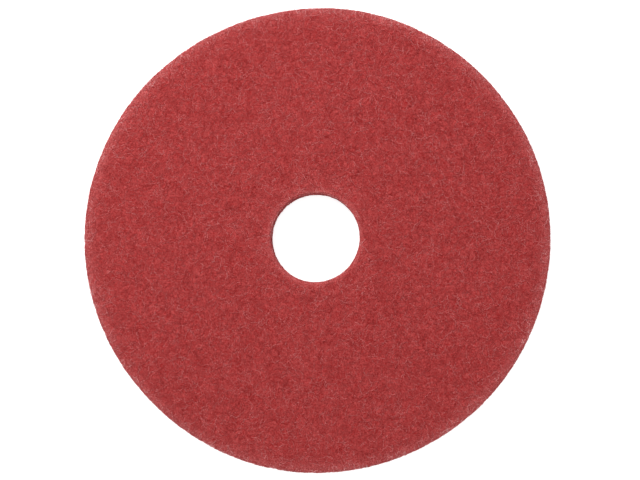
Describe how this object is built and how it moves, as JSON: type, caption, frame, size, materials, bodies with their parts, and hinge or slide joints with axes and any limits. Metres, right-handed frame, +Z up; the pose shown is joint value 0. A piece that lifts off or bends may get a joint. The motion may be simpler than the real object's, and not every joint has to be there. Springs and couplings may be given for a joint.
{
  "type": "floor pad",
  "caption": "Flat round red pad of bonded non-woven fibre for a rotary floor machine, die-cut with a round hole at its centre and a softly rolled upper edge.",
  "frame": {"origin": "on the axis of the centre hole, in the plane of the lower face that rests on the floor", "axes": "+Z up along the axis of the hole, square to both faces; the pad is round, so +X and +Y are free"},
  "size_m": [0.4319, 0.432, 0.025],
  "materials": {
    "pad_web": "matte"
  },
  "bodies": {
    "root": {"floor_pad": "pad_web"}
  },
  "joints": []
}
